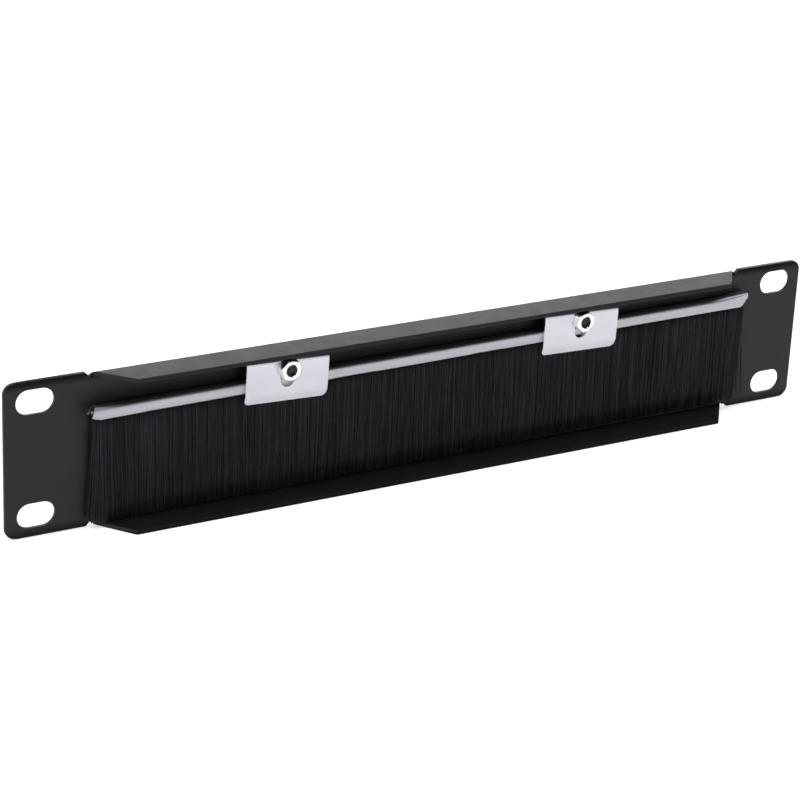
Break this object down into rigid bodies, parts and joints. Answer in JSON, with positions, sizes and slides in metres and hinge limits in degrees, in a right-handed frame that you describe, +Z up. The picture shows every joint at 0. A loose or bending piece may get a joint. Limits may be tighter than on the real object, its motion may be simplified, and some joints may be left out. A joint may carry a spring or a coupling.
{
  "type": "rack brush strip panel",
  "caption": "One-unit 10-inch rack panel of folded black sheet steel, with a nylon brush strip clamped behind its cable window.",
  "frame": {"origin": "centre of the rack-slot pattern, on the rear face of the sheet", "axes": "+X to the left-hand side seen from the rear, along the longest side; +Y out of the rear face; +Z up"},
  "size_m": [0.254, 0.0114, 0.044],
  "materials": {
    "black_powder_coat": "fine satin powder coat",
    "holder_metal": "mill finish",
    "core_steel": "drawn wire",
    "black_nylon": "drawn filament",
    "bright_zinc": "bright zinc plate",
    "nut_zinc": "bright zinc plate"
  },
  "bodies": {
    "root": {"panel": "black_powder_coat", "brush_holder": "holder_metal", "core_wire": "core_steel", "bristles": "black_nylon", "stud_left": "nut_zinc", "stud_right": "nut_zinc", "clamp_left": "bright_zinc", "clamp_right": "bright_zinc", "nut_left": "nut_zinc", "nut_right": "nut_zinc"}
  },
  "joints": []
}
